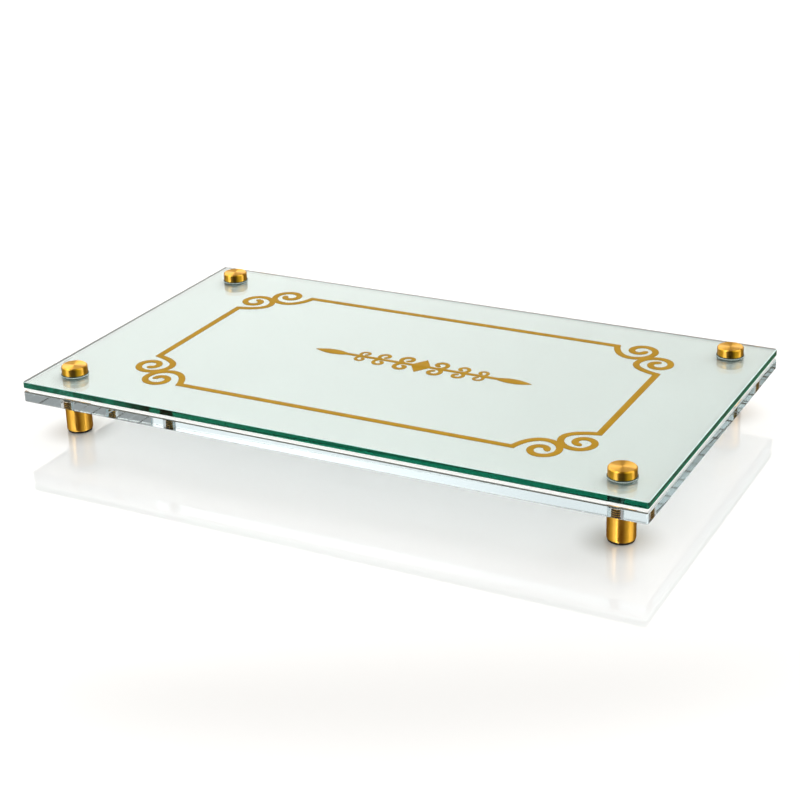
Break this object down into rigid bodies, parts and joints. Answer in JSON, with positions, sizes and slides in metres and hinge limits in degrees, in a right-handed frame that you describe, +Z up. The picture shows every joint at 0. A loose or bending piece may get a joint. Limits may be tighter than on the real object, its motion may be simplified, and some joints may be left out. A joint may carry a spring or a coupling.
{
  "type": "challah serving tray",
  "caption": "Low rectangular bread tray: glass top over a white sheet and a clear acrylic plate, clamped by brass stand-off legs, with a gold volute border and a gold scroll motif.",
  "frame": {"origin": "centre of the footprint on the table, at the underside of the rubber foot pads", "axes": "+X along the tray's long side, +Y along its short side towards the back, +Z up"},
  "size_m": [0.475, 0.275, 0.051],
  "materials": {
    "acrylic": "clear, polished",
    "white_sheet": "opaque white, smooth",
    "glass": "clear float glass, polished green edge",
    "gold": "gold print, satin",
    "rubber": "matt black",
    "brass": "turned and polished",
    "washer": "clear, smooth"
  },
  "bodies": {
    "root": {"acrylic_base": "acrylic", "white_insert": "white_sheet", "glass_top": "glass", "gold_border": "gold", "centre_ornament": "gold", "foot_pad_front_left": "rubber", "foot_pad_front_right": "rubber", "foot_pad_back_left": "rubber", "foot_pad_back_right": "rubber", "leg_front_left": "brass", "leg_front_right": "brass", "leg_back_left": "brass", "leg_back_right": "brass", "leg_washer_front_left": "washer", "leg_washer_front_right": "washer", "leg_washer_back_left": "washer", "leg_washer_back_right": "washer", "stud_front_left": "brass", "stud_front_right": "brass", "stud_back_left": "brass", "stud_back_right": "brass", "cap_washer_front_left": "washer", "cap_washer_front_right": "washer", "cap_washer_back_left": "washer", "cap_washer_back_right": "washer", "cap_front_left": "brass", "cap_front_right": "brass", "cap_back_left": "brass", "cap_back_right": "brass"}
  },
  "joints": []
}
